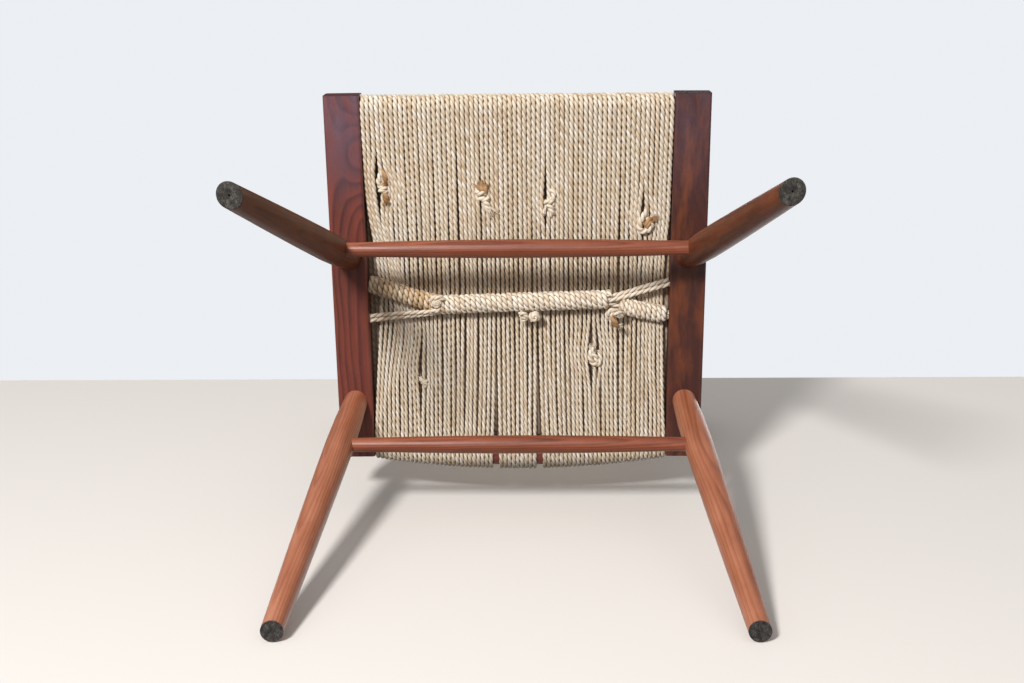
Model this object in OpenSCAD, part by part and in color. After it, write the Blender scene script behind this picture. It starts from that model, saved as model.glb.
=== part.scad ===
// Rush seat chair: two side rails on four round splayed legs, a seat of cord wound round
// a front and a rear rail, and a low curved back on two posts.
// The seat frame is drawn level, with its underside at z = 0 and its front edge at y = 0.
// in_seat() then tips it back and lifts it to its height above the ground.

/* [Seat frame] */
// Width over the side rails at the front
seat_front_width = 460; // [430:1:500]
// Width over the side rails at the rear
seat_rear_width = 454; // [430:1:490]
// Length of the side rails
seat_depth = 454; // [430:1:480]
// Height of the side rails' underside above the ground, at the front edge
seat_height = 414; // [380:1:450]
// Backward tilt of the seat, in degrees
seat_slope = 4.6; // [2:0.1:7]
// Width of a side rail, seen from above
side_rail_width = 43; // [40:1:52]
// Thickness of a side rail
side_rail_thickness = 32; // [31:0.5:38]
// Radius on the long edges of the side rails
side_rail_round = 3; // [1:0.5:5]

/* [Front and rear rail] */
// Thickness of both cross rails, whose edges are half round
cross_rail_thickness = 21; // [17:0.5:22]
// Depth of both cross rails from front to rear
cross_rail_depth = 40; // [34:1:46]
// How far the middle of the rear rail bows back past its ends
rear_rail_bow = 15; // [6:1:20]
// Distance of the rear rail's outer edge from the side rails' rear end, at its ends, below 0 behind it
rear_rail_inset = -1.2; // [-3:0.2:6]
// Length of a cross rail tenon
rail_tenon_length = 28; // [20:1:32]
// Depth of a cross rail tenon from front to rear
rail_tenon_depth = 24; // [18:1:28]
// Thickness of a cross rail tenon
rail_tenon_thickness = 12; // [9:0.5:14]

/* [Legs] */
// Distance of the front legs from the front edge, at the rails' underside
front_leg_y = 195; // [170:1:215]
// Forward splay of the front legs, in degrees
front_leg_splay = 20; // [15:0.5:22]
// Distance of the rear legs from the side rails' rear end, at the rails' underside
rear_leg_inset = 73; // [69:1:89]
// Backward splay of the rear legs, in degrees
rear_leg_splay = 18; // [14:0.5:21]
// Sideways spread of all legs, in degrees
leg_spread = 6.6; // [3:0.2:9]
// Diameter where a leg meets the rail
leg_neck_d = 29.5; // [26:0.5:32]
// Largest diameter of a leg
leg_belly_d = 35; // [32:0.2:37]
// Distance of the largest diameter from the rail
leg_belly_at = 85; // [70:1:110]
// Diameter at the foot
leg_foot_d = 24; // [22:0.2:28]
// Diameter of the tenon that runs through the rail
leg_tenon_d = 20; // [16:0.5:22]
// Diameter of the turning centre left in the foot
foot_mark_d = 2; // [1:0.5:3]
// Depth of the turning centre
foot_mark_depth = 4; // [2:0.5:6]

/* [Leg wedges] */
// Thickness of a tenon wedge at its head
wedge_head = 2.4; // [1.6:0.1:3]
// Thickness of a tenon wedge at its tip
wedge_tip = 0.8; // [0.6:0.1:1.4]
// Length of a tenon wedge
wedge_length = 18; // [12:1:24]

/* [Stretchers] */
// Distance of the front stretcher below the side rails
front_stretcher_drop = 66; // [50:1:90]
// Distance of the rear stretcher below the side rails
rear_stretcher_drop = 82; // [60:1:100]
// Diameter of a stretcher in its socket
stretcher_end_d = 16.8; // [14:0.2:18]
// Diameter of a stretcher in the middle
stretcher_mid_d = 22; // [19:0.2:25]
// How far a stretcher reaches past the axis of the leg
stretcher_reach = 6; // [2:0.5:9]

/* [Back] */
// Distance of the back posts from the side rails' rear end
post_inset = 52; // [50:0.5:55]
// Backward lean of the posts from the seat, in degrees
back_lean = 13.5; // [8:0.5:18]
// Length of a post between the side rail and the back rest
post_length = 172; // [150:1:200]
// Diameter of a post at the side rail
post_foot_d = 23; // [20:0.5:26]
// Diameter of a post under the back rest
post_head_d = 17.5; // [16:0.5:20]
// Diameter of the post tenon in the side rail
post_tenon_d = 14; // [11:0.5:15]
// Depth of the post tenon in the side rail
post_tenon_length = 20; // [14:1:24]
// Diameter of the post tenon in the back rest
post_pin_d = 12; // [9:0.5:13]
// Length of the post tenon in the back rest
post_pin_length = 30; // [20:1:40]
// Width of the back rest
crest_width = 488; // [450:1:500]
// Height of the back rest
crest_height = 110; // [90:1:130]
// Thickness of the back rest at its lower edge
crest_thickness = 22; // [20:0.5:26]
// Thickness of the back rest at its upper edge
crest_top_thickness = 16; // [14:0.5:20]
// Radius of the curve of the back rest, seen from above
crest_curve = 845; // [650:5:1200]
// Radius of the corners of the back rest, seen from the front
crest_corner = 28; // [15:1:40]
// Rise of the upper edge towards its middle
crest_rise = 9; // [4:1:16]

/* [Seat cord] */
// Diameter of the cord
cord_d = 4.7; // [4.2:0.1:4.8]
// Number of cords in each of the five lengths of cord, from left to right
cord_lengths = [14, 14, 9, 14, 15];
// Width of each of the two gaps at the rear rail
cord_gap = 7.5; // [4:0.5:9]
// Distance of the lashing from the front edge
lashing_y = 254.5; // [235:0.5:275]
// How far the lashing runs forward from its left to its right end
lashing_skew = 6; // [0:0.5:10]
// Left end of the lashing, from the middle of the seat
lashing_left = -100; // [-120:1:-80]
// Right end of the lashing, from the middle of the seat
lashing_right = 112; // [80:1:125]
// Turns of the lashing
lashing_turns = 24; // [20:1:24]
// How far forward and back the cross strands spread at the side rails
strand_spread = 23; // [15:1:28]

/* [Hidden] */
// Gap all round a tenon or a wedge in its seat
fit_clearance = 0.15;
// Gap between a cord and whatever it lies on
cord_clearance = 0.3;
// Fragments of a turned piece
$fn = 28;

inner_front_x = seat_front_width / 2 - side_rail_width;
inner_rear_x = seat_rear_width / 2 - side_rail_width;
mid_z = side_rail_thickness / 2;
toe_in = atan((seat_front_width - seat_rear_width) / 2 / seat_depth);

// Half width of the seat, and the middle of a side rail, at a distance y from the front edge
function outer_x(y) = (seat_front_width + (seat_rear_width - seat_front_width) * y / seat_depth) / 2;
function rail_x(y) = outer_x(y) - side_rail_width / 2;
function inner_x(y) = outer_x(y) - side_rail_width;

// Front edge of the front rail: the cord that wraps it ends level with the side rails
front_rail_y = cord_d + 2 * cord_clearance;
// Outer edge of the rear rail at its ends
rear_rail_y = seat_depth - rear_rail_inset;
rear_bow_r = (inner_rear_x * inner_rear_x + rear_rail_bow * rear_rail_bow) / (2 * rear_rail_bow);
rear_bow_y = rear_rail_y + rear_rail_bow - rear_bow_r;

// Places of the rear legs and the back posts, which keep their distance from the rear end
rear_leg_y = seat_depth - rear_leg_inset;
post_y = seat_depth - post_inset;
// Direction of each leg, one unit down
front_leg_d = [tan(leg_spread), -tan(front_leg_splay), -1];
rear_leg_d = [tan(leg_spread), tan(rear_leg_splay), -1];
// Length from the rail to the ground along a leg that starts at y in direction d
function leg_length(y, d) = norm(d) * (seat_height - y * sin(seat_slope))
    / (d.y * sin(seat_slope) - d.z * cos(seat_slope));
function leg_radius(s, length) = s < leg_belly_at
    ? (leg_neck_d + (leg_belly_d - leg_neck_d) * sin(90 * s / leg_belly_at)) / 2
    : (leg_belly_d - (leg_belly_d - leg_foot_d) * pow((s - leg_belly_at) / (length - leg_belly_at), 1.35)) / 2;

// Radius on the upper edges of the back rest
crest_round = 6;
// Place of a post's axis, and of the middle of the back rest's curve
post_x = rail_x(post_y);
crest_mid_r = crest_curve + crest_thickness / 2;
crest_y = -sqrt(crest_mid_r * crest_mid_r - post_x * post_x);

// The chair's front and rear ends on the ground, which put the origin midway between them
foot_front = front_leg_y * cos(seat_slope)
    + leg_length(front_leg_y, front_leg_d) * (front_leg_d.y * cos(seat_slope) - sin(seat_slope)) / norm(front_leg_d)
    - leg_foot_d / 2 / cos(front_leg_splay + seat_slope);
total_lean = back_lean + seat_slope;
crest_back = post_y * cos(seat_slope) + side_rail_thickness * sin(seat_slope)
    + (crest_curve + crest_top_thickness + crest_y - crest_round) * cos(total_lean)
    + (post_length + crest_height - crest_round) * sin(total_lean) + crest_round;
seat_y = -(min(foot_front, 0) + crest_back) / 2;

rail_colour = "#6b3a30";
turned_colour = "#9a5a35";
wedge_colour = "#c9995e";
cord_colour = "#c9b394";

// Places

module in_seat() {
    translate([0, seat_y, seat_height])
        rotate([-seat_slope, 0, 0])
            children();
}

module in_back() {
    translate([0, post_y, side_rail_thickness])
        rotate([-back_lean, 0, 0])
            children();
}

// Turns the Z axis of its children towards d, without a twist about it, and starts them at p
module aim(p, d) {
    heading = atan2(d.y, d.x);
    translate(p)
        rotate([0, acos(d.z / norm(d)), heading])
            rotate([0, 0, -heading])
                children();
}

// All of the space above height z, or below it with a negative thickness
module slab(z, thickness) {
    translate([-400, -400, min(z, z + thickness)])
        cube([800, 1100, abs(thickness)]);
}

// Profiles

module rounded_bar(width, height, radius) {
    translate([radius, 0])
        square([width - 2 * radius, height]);
    translate([0, radius])
        square([width, height - 2 * radius]);
    for (x = [radius, width - radius], y = [radius, height - radius])
        translate([x, y])
            circle(radius, $fn = 16);
}

// Section of a cross rail, from its outer edge at x = 0 inwards
module cross_rail_section() {
    radius = cross_rail_thickness / 2;
    translate([radius, mid_z - radius])
        square([cross_rail_depth - 2 * radius, cross_rail_thickness]);
    for (x = [radius, cross_rail_depth - radius])
        translate([x, mid_z])
            circle(radius, $fn = 16);
}

// Side rails

module leg_hole(side, y, d) {
    aim([side * rail_x(y), y, 0], [-side * d.x, -d.y, 1])
        translate([0, 0, -10])
            cylinder(d = leg_tenon_d + 2 * fit_clearance, h = side_rail_thickness + 30);
}

module rail_tenon(side, y, length, gap) {
    depth = rail_tenon_depth + 2 * gap;
    thickness = rail_tenon_thickness + 2 * gap;
    start = inner_x(y) - 6;
    reach = length + gap + 6;
    translate([side > 0 ? start : -start - reach, y - depth / 2, mid_z - thickness / 2])
        cube([reach, depth, thickness]);
}

front_tenon_y = front_rail_y + cross_rail_depth / 2;
rear_tenon_y = rear_rail_y - cross_rail_depth / 2;

module side_rail(side) {
    color(rail_colour)
        in_seat()
            difference() {
                scale([side, 1, 1])
                    translate([seat_front_width / 2, 0, 0])
                        rotate([90, 0, toe_in])
                            translate([-side_rail_width, 0, -seat_depth])
                                linear_extrude(seat_depth)
                                    rounded_bar(side_rail_width, side_rail_thickness, side_rail_round);
                leg_hole(side, front_leg_y, front_leg_d);
                leg_hole(side, rear_leg_y, rear_leg_d);
                rail_tenon(side, front_tenon_y, rail_tenon_length, fit_clearance);
                rail_tenon(side, rear_tenon_y, rail_tenon_length, fit_clearance);
                in_back()
                    translate([side * post_x, 0, -post_tenon_length - fit_clearance])
                        cylinder(d = post_tenon_d + 2 * fit_clearance, h = post_tenon_length + 20);
            }
}

// Front and rear rail

module front_rail() {
    color(rail_colour)
        in_seat() {
            length = 2 * inner_x(front_rail_y + cross_rail_depth);
            translate([-length / 2, front_rail_y, 0])
                rotate([90, 0, 90])
                    linear_extrude(length)
                        cross_rail_section();
            for (side = [-1, 1])
                rail_tenon(side, front_tenon_y, rail_tenon_length, 0);
        }
}

module rear_rail() {
    color(rail_colour)
        in_seat() {
            half = inner_x(rear_rail_y);
            reach = asin((half + 10) / (rear_bow_r - cross_rail_depth));
            intersection() {
                translate([0, rear_bow_y, 0])
                    rotate([0, 0, 90 - reach])
                        rotate_extrude(angle = 2 * reach, $fn = 240)
                            translate([rear_bow_r, 0])
                                mirror([1, 0])
                                    cross_rail_section();
                translate([-half, rear_rail_y - 2 * cross_rail_depth, 0])
                    cube([2 * half, 3 * cross_rail_depth, side_rail_thickness]);
            }
            for (side = [-1, 1])
                rail_tenon(side, rear_tenon_y, rail_tenon_length, 0);
        }
}

// Legs

// Point on a leg's axis that lies the given drop below the rails
function leg_point(side, y, d, drop) = [side * (rail_x(y) + d.x * drop), y + d.y * drop, -drop];

module leg_turning(length) {
    steps = 9;
    rotate_extrude()
        polygon(concat(
            [[0, -12], [leg_neck_d / 2, -12]],
            [for (i = [0:steps]) [leg_radius(i / steps * length, length), i / steps * length]],
            [[leg_foot_d / 2, length + 15], [0, length + 15]]
        ));
}

// Wedge in the upper end of a leg tenon, thin along the rail, as a prism across the rail
module wedge_prism(side, y, d, gap) {
    top = leg_point(side, y, d, -side_rail_thickness);
    tip = leg_point(side, y, d, wedge_length - side_rail_thickness);
    translate([top.x - leg_tenon_d, 0, 0])
        rotate([90, 0, 90])
            linear_extrude(2 * leg_tenon_d)
                polygon([
                    [top.y - wedge_head / 2 - gap, top.z],
                    [tip.y - wedge_tip / 2 - gap, tip.z - gap],
                    [tip.y + wedge_tip / 2 + gap, tip.z - gap],
                    [top.y + wedge_head / 2 + gap, top.z]
                ]);
}

module leg_tenon(side, y, d) {
    aim([side * rail_x(y), y, 0], [-side * d.x, -d.y, 1])
        translate([0, 0, -8])
            cylinder(d = leg_tenon_d, h = side_rail_thickness + 30);
}

module leg(side, y, d, drop) {
    length = leg_length(y, d);
    down = [side * d.x, d.y, d.z];
    foot = leg_point(side, y, d, length / norm(d));
    socket = leg_point(side, y, d, drop);
    depth = stretcher_reach + fit_clearance;
    color(turned_colour)
        difference() {
            in_seat()
                difference() {
                    union() {
                        difference() {
                            aim([side * rail_x(y), y, 0], down)
                                leg_turning(length);
                            slab(0, 60);
                        }
                        difference() {
                            leg_tenon(side, y, d);
                            slab(side_rail_thickness, 60);
                        }
                    }
                    wedge_prism(side, y, d, fit_clearance);
                    aim([socket.x + side * depth, socket.y, socket.z], [-side, 0, 0])
                        cylinder(d = stretcher_end_d + 2 * fit_clearance, h = 60);
                    aim(foot - down / norm(down) * foot_mark_depth, down)
                        cylinder(d = foot_mark_d, h = foot_mark_depth + 20);
                }
            slab(0, -60);
        }
}

module leg_wedges() {
    color(wedge_colour)
        in_seat()
            for (side = [-1, 1], p = [[front_leg_y, front_leg_d], [rear_leg_y, rear_leg_d]])
                intersection() {
                    leg_tenon(side, p[0], p[1]);
                    wedge_prism(side, p[0], p[1], 0);
                }
}

// Stretchers

module stretcher(y, d, drop) {
    end = leg_point(1, y, d, drop);
    half = end.x + stretcher_reach;
    socketed = stretcher_reach + leg_belly_d / 2 + 4;
    steps = 10;
    color(turned_colour)
        in_seat()
            translate([-half, end.y, end.z])
                rotate([0, 90, 0])
                    rotate_extrude($fn = 20)
                        polygon(concat(
                            [[0, 0], [stretcher_end_d / 2, 0]],
                            [for (i = [0:steps])
                                let (u = 2 * i / steps - 1)
                                [(stretcher_end_d + (stretcher_mid_d - stretcher_end_d) * cos(90 * u)) / 2,
                                 half + u * (half - socketed)]],
                            [[stretcher_end_d / 2, 2 * half], [0, 2 * half]]
                        ));
}

// Back

function arc(centre, radius, from, to, steps) =
    [for (i = [0:steps])
        let (a = from + (to - from) * i / steps)
        centre + radius * [cos(a), sin(a)]];

module back_post(side) {
    steps = 8;
    color(turned_colour)
        in_seat() {
            difference() {
                in_back()
                    translate([side * post_x, 0, 0])
                        rotate_extrude($fn = 28)
                            polygon(concat(
                                [[0, -8], [post_foot_d / 2, -8]],
                                [for (i = [0:steps])
                                    let (t = i / steps)
                                    [(post_foot_d + (post_head_d - post_foot_d) * t + 2 * sin(180 * t)) / 2,
                                     t * post_length]],
                                [[post_pin_d / 2, post_length],
                                 [post_pin_d / 2, post_length + post_pin_length],
                                 [0, post_length + post_pin_length]]
                            ));
                slab(side_rail_thickness, -60);
            }
            in_back()
                translate([side * post_x, 0, -post_tenon_length])
                    cylinder(d = post_tenon_d, h = post_tenon_length + 12, $fn = 28);
        }
}

// Section of the back rest: its inner face is upright, its outer face leans in to the top
module crest_section() {
    low = 4;
    high = crest_round;
    lower_out = crest_curve + crest_thickness;
    upper_out = crest_curve + crest_top_thickness;
    polygon(concat(
        arc([crest_curve + low, low], low, 270, 180, 3),
        arc([crest_curve + high, crest_height - high], high, 180, 90, 3),
        arc([upper_out - high, crest_height - high], high, 90, 0, 3),
        arc([lower_out - low, low], low, 0, -90, 3)
    ));
}

// Outline of the back rest from the front
module crest_outline() {
    half = crest_width / 2;
    end_height = crest_height - crest_rise;
    polygon(concat(
        arc([-half + crest_corner, crest_corner], crest_corner, 270, 180, 6),
        arc([-half + crest_corner, end_height - crest_corner], crest_corner, 180, 100, 6),
        [for (i = [-3:3])
            let (u = i / 4)
            [u * (half - crest_corner), end_height + crest_rise * (1 - u * u)]],
        arc([half - crest_corner, end_height - crest_corner], crest_corner, 80, 0, 6),
        arc([half - crest_corner, crest_corner], crest_corner, 0, -90, 6)
    ));
}

module crest_rail() {
    reach = asin((crest_width / 2 + 10) / crest_curve);
    color(rail_colour)
        in_seat()
            in_back()
                difference() {
                    translate([0, 0, post_length])
                        intersection() {
                            translate([0, crest_y, 0])
                                rotate([0, 0, 90 - reach])
                                    rotate_extrude(angle = 2 * reach, $fn = 144)
                                        crest_section();
                            translate([0, 150, 0])
                                rotate([90, 0, 0])
                                    linear_extrude(300)
                                        crest_outline();
                        }
                    for (side = [-1, 1])
                        translate([side * post_x, 0, post_length - 10])
                            cylinder(d = post_pin_d + 2 * fit_clearance,
                                     h = 10 + post_pin_length + fit_clearance, $fn = 28);
                }
}

// Seat cord
// Each length of cord is one tube of six sides that winds round the two cross rails. It has
// four rings in each turn, on a polygon that touches the true turn, and one at the lashing.

cord_sides = 6;
turn_step = 45;
turn_r = cross_rail_thickness / 2 + cord_clearance + cord_d / 2;
cord_total = cord_lengths[0] + cord_lengths[1] + cord_lengths[2] + cord_lengths[3] + cord_lengths[4];
left_gap_at = cord_lengths[0] + cord_lengths[1];
right_gap_at = left_gap_at + cord_lengths[2];
front_pitch = 2 * (inner_x(front_rail_y + turn_r) - cord_clearance) / cord_total;
rear_pitch = 2 * (inner_rear_x - cord_clearance - cord_gap) / cord_total;

// Places of a cord across the front rail and across the rear rail
function front_x(i) = (i + 0.5 - cord_total / 2) * front_pitch;
function rear_x(i) = (i + 0.5 - cord_total / 2) * rear_pitch
    - cord_gap + (i >= left_gap_at ? cord_gap : 0) + (i >= right_gap_at ? cord_gap : 0);

front_turn_y = front_rail_y + cross_rail_thickness / 2;
rear_edge_r = rear_bow_r - cross_rail_thickness / 2;
function rear_turn_y(x) = rear_bow_y + sqrt(rear_edge_r * rear_edge_r - x * x);

// The lashing draws the lower cords up to the upper ones
upper_z = mid_z + turn_r;
pinch_z = upper_z - cord_d - cord_clearance;
function lashing_line(x) = lashing_y - lashing_skew * x / (lashing_right - lashing_left);

// A ring of the tube: its centre, the direction that faces out of the turn, and the stretch
// that keeps the tube round where two straight runs meet
function turn_ring(x, y, out, a) =
    let (dir = [0, out * cos(a), sin(a)])
    [[x, y, mid_z] + dir * turn_r / cos(turn_step / 2), dir, 1 / cos(turn_step / 2)];

// The cord steps across by one place as it comes down round the front rail. The first cord
// starts under that rail, hard against the side rail.
function cord_rings(i) =
    let (xf = front_x(i), xr = rear_x(i), before = front_x(i - 1))
    concat(
        [for (k = [i == 0 ? 3 : 0:3])
            turn_ring(before + (xf - before) * k / 3, front_turn_y, -1, 67.5 - k * turn_step)],
        [let (y = lashing_line(xf),
              t = (y - front_turn_y) / (rear_turn_y(xr) - front_turn_y))
            [[xf + (xr - xf) * t, y, pinch_z], [0, 0, -1], 1]],
        [for (k = [0:3]) turn_ring(xr, rear_turn_y(xr), 1, -67.5 + k * turn_step)]
    );

// Two lengths of cord meet end to end on top of the front rail
function upper_end(i, y) = [[front_x(i), y, upper_z], [0, 0, 1], 1];
function length_rings(first, count) = concat(
    first == 0 ? [] : [upper_end(first - 1, front_turn_y + 1)],
    [for (i = [first:first + count - 1]) each cord_rings(i)],
    [upper_end(first + count - 1, front_turn_y + 1 + 2 * cord_clearance)]
);

// Tube through rings of equal side count, whose sides run from X towards each ring's direction
module ring_tube(rings, sides, radius) {
    count = len(rings);
    points = [for (r = rings, k = [0:sides - 1])
        let (a = 360 * (k + 0.5) / sides)
        r[0] + radius * (cos(a) * [1, 0, 0] + r[2] * sin(a) * r[1])];
    walls = [for (j = [0:count - 2], k = [0:sides - 1])
        let (n = (k + 1) % sides, a = j * sides, b = a + sides)
        each [[a + k, b + k, b + n], [a + k, b + n, a + n]]];
    start = [for (k = [1:sides - 2]) [0, k, k + 1]];
    last = (count - 1) * sides;
    end = [for (k = [1:sides - 2]) [last, last + k + 1, last + k]];
    polyhedron(points, concat(walls, start, end), convexity = 10);
}

module seat_cord(group) {
    first = group == 0 ? 0 : [for (i = 0, s = cord_lengths[0]; i < group; i = i + 1, s = s + cord_lengths[i]) s][group - 1];
    color(cord_colour)
        in_seat()
            ring_tube(length_rings(first, cord_lengths[group]), cord_sides, cord_d / 2);
}

// Least distance of point p from the run between a and b
function run_distance(p, a, b) =
    let (ab = b - a, t = max(0, min(1, (p - a) * ab / (ab * ab))))
    norm(p - a - t * ab);

// Least gap of the winding to itself, measured from the rings of each cord to the runs of the next
function winding_gap(rings, per_turn, diameter) = min([
    for (j = [0:len(rings) - per_turn - 2], k = [per_turn - 2:per_turn])
        run_distance(rings[j][0], rings[j + k][0], rings[j + k + 1][0])]) - diameter;

// Lashing
// Two doubled strands cross under the seat. A cord is wound round both in the middle.

strand_pitch = cord_d + 2 * cord_clearance;
bundle_r = strand_pitch / 2 * sqrt(2) + cord_d / 2;
lash_step = 60;
lash_r = bundle_r + cord_clearance + cord_d / 2;
// The pinched cords slope away from the lashing on both sides, so it sits a little lower
lash_drop = 0.8;
lash_z = pinch_z - cord_d - cord_clearance - lash_drop - lash_r;
strand_lead = 4;

function lashing_rings() =
    let (count = lashing_turns * 360 / lash_step, step = (lashing_right - lashing_left) / count)
    [for (j = [0:count])
        let (a = j * lash_step, x = lashing_left + j * step, dir = [0, cos(a), sin(a)])
        [[x, lashing_line(x), lash_z] + dir * lash_r / cos(lash_step / 2), dir, 1 / cos(lash_step / 2)]];

module lashing() {
    color(cord_colour)
        in_seat()
            ring_tube(lashing_rings(), cord_sides, cord_d / 2);
}

// One cord of a strand, which starts forward (-1) or back (1) at the left and ends opposite
module strand_cord(forward, offset_y, offset_z) {
    reach = inner_x(lashing_y) - cord_clearance;
    left = lashing_left - strand_lead;
    right = lashing_right + strand_lead;
    route = [
        [-reach, lashing_y + forward * strand_spread, 0],
        [left, lashing_line(left), 0],
        [right, lashing_line(right), 0],
        [reach, lashing_y - forward * strand_spread, 0]
    ];
    // Rings across a strand stand in the plane of Y and Z
    sides = 8;
    radius = cord_d / 2;
    points = [for (p = route, k = [0:sides - 1])
        let (a = 360 * (k + 0.5) / sides)
        p + [0, offset_y + radius * cos(a), lash_z + offset_z + radius * sin(a)]];
    walls = [for (j = [0:2], k = [0:sides - 1])
        let (n = (k + 1) % sides, a = j * sides, b = a + sides)
        each [[a + k, b + k, b + n], [a + k, b + n, a + n]]];
    start = [for (k = [1:sides - 2]) [0, k, k + 1]];
    end = [for (k = [1:sides - 2]) [3 * sides, 3 * sides + k + 1, 3 * sides + k]];
    polyhedron(points, concat(walls, start, end));
}

module cross_strand(forward, layer) {
    color(cord_colour)
        in_seat()
            for (offset_y = [-1, 1] * strand_pitch / 2)
                strand_cord(forward, offset_y, layer * strand_pitch / 2);
}

echo(seat_cord_least_gap = winding_gap(length_rings(0, cord_total), 9, cord_d),
         lashing_least_gap = winding_gap(lashing_rings(), 6, cord_d));

side_rail(-1);  // side_rail_left
side_rail(1);  // side_rail_right
front_rail();
rear_rail();
leg(-1, front_leg_y, front_leg_d, front_stretcher_drop);  // leg_front_left
leg(1, front_leg_y, front_leg_d, front_stretcher_drop);  // leg_front_right
leg(-1, rear_leg_y, rear_leg_d, rear_stretcher_drop);  // leg_rear_left
leg(1, rear_leg_y, rear_leg_d, rear_stretcher_drop);  // leg_rear_right
leg_wedges();
stretcher(front_leg_y, front_leg_d, front_stretcher_drop);  // stretcher_front
stretcher(rear_leg_y, rear_leg_d, rear_stretcher_drop);  // stretcher_rear
back_post(-1);  // back_post_left
back_post(1);  // back_post_right
crest_rail();
seat_cord(0);  // seat_cord_left_outer
seat_cord(1);  // seat_cord_left_inner
seat_cord(2);  // seat_cord_middle
seat_cord(3);  // seat_cord_right_inner
seat_cord(4);  // seat_cord_right_outer
cross_strand(-1, 1);  // cross_strand_wound
cross_strand(1, -1);  // cross_strand_plain
lashing();
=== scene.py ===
"""Rush seat chair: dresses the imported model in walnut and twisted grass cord, and sets up the view.

Places on the seat are in the seat's own millimetres: x across, y back from the front edge and z up from the
underside of the side rails. SEAT turns them into the chair's metres.
"""

import math
import random

import bpy
import numpy as np
from mathutils import Matrix, Vector, noise


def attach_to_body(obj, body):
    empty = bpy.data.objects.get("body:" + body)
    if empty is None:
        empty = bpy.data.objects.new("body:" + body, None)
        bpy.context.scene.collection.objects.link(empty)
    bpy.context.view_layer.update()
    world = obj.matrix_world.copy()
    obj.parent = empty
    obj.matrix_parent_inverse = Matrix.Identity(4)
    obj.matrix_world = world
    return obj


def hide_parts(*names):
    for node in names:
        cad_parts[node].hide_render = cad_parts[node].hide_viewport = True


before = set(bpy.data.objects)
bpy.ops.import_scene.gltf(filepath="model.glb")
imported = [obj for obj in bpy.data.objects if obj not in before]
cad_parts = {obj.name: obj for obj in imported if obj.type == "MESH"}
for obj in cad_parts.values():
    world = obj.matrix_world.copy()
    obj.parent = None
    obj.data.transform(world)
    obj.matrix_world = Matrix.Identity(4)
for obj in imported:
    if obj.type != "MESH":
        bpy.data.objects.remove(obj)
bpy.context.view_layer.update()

bl_info = {
    "name": "Rush seat chair",
    "version": (1, 0, 0),
    "blender": (4, 5, 0),
    "location": "3D View > Sidebar > Chair",
    "description": "Walnut, grass cord and studio for a rush seat chair",
    "category": "Object",
}

MM = 0.001

# The seat in the chair's frame, as the part's source has it
SEAT_HEIGHT, SEAT_Y, SEAT_SLOPE = 414.0, -258.366, math.radians(4.6)
SEAT = Matrix.Translation((0, SEAT_Y * MM, SEAT_HEIGHT * MM)) @ Matrix.Rotation(-SEAT_SLOPE, 4, "X")
SEAT_TURN = SEAT.to_3x3()
BACK, UP = SEAT_TURN @ Vector((0, 1, 0)), SEAT_TURN @ Vector((0, 0, 1))
RAIL_LINE = 16.0  # height of the cross rails' middle
FRONT_TURN_Y, TURN_R = 15.8, 13.15  # middle of the cord's turn round the front rail, and the turns' radius
INNER_FRONT, INNER_REAR = 187.0, 184.0  # inner faces of the side rails at the front and at the rear
BOW_R, BOW_Y = 1125.53, -665.833  # the bow of the rear rail
FRONT_PITCH, REAR_PITCH, REAR_GAP = 5.65388, 5.33939, 7.5
AFTER_GAPS = 28, 37  # the first cord after each of the two gaps at the rear rail
PINCH_Z, LASH_Z = 23.7, 9.6  # heights of the under layer and of the lashing where they meet
# Where the lashing's middle part ends, how far back it runs, and how much further forward its right end lies
LASH_LEFT, LASH_RIGHT, LASH_Y, LASH_SKEW = -100.0, 112.0, 254.5, 6.0
LENGTHS = (
    ("seat_cord_left_outer", 14), ("seat_cord_left_inner", 14), ("seat_cord_middle", 9),
    ("seat_cord_right_inner", 14), ("seat_cord_right_outer", 15),
)
CORDS = sum(count for _, count in LENGTHS)


def seat(x, y, z):
    return SEAT @ Vector((x * MM, y * MM, z * MM))


# Colours and node helpers

def tones(*hex_colours):
    """Several hex values as linear colours, such as light, middle and dark."""
    return [linear(value) for value in hex_colours]


def linear(hex_colour):
    """An sRGB hex value as the linear colour that Blender's sockets hold."""
    channels = [int(hex_colour[i:i + 2], 16) / 255 for i in (1, 3, 5)]
    return tuple(c / 12.92 if c <= 0.04045 else ((c + 0.055) / 1.055) ** 2.4 for c in channels) + (1.0,)


def add(tree, kind, inputs=None, **settings):
    """Adds a node. A value that is a socket is linked, and any other is set."""
    node = tree.nodes.new(kind)
    for name, value in settings.items():
        setattr(node, name, value)
    for key, value in (inputs or {}).items():
        if isinstance(value, bpy.types.NodeSocket):
            tree.links.new(value, node.inputs[key])
        else:
            node.inputs[key].default_value = value
    return node


def ramp(tree, factor, stops):
    """A colour ramp from (position, colour or grey level) stops."""
    stops = list(stops)
    node = add(tree, "ShaderNodeValToRGB", {0: factor})
    elements = node.color_ramp.elements
    while len(elements) < len(stops):
        elements.new(0.5)
    for element, (position, colour) in zip(elements, stops):
        element.position = position
        element.color = (colour, colour, colour, 1) if isinstance(colour, float) else colour
    return node.outputs[0]


def mixed(tree, factor, a, b, blend="MIX"):
    """Two colours mixed."""
    return add(tree, "ShaderNodeMix", {0: factor, 6: a, 7: b}, data_type="RGBA", blend_type=blend).outputs[2]


def sums(tree, operation, a, b=0.0, c=0.0, clamp=False):
    """One arithmetic step."""
    return add(tree, "ShaderNodeMath", {0: a, 1: b, 2: c}, operation=operation, use_clamp=clamp).outputs[0]


def weighted(tree, *shares):
    """The sum of (value, weight) pairs, each value times its weight."""
    total = 0.0
    for value, weight in shares:
        total = sums(tree, "MULTIPLY_ADD", value, weight, total)
    return total


def tinted(tree, colour, mask, share, tone):
    """The colour with a share of another tone laid over it where the mask is."""
    return mixed(tree, sums(tree, "MULTIPLY", mask, share), colour, tone)


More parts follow.
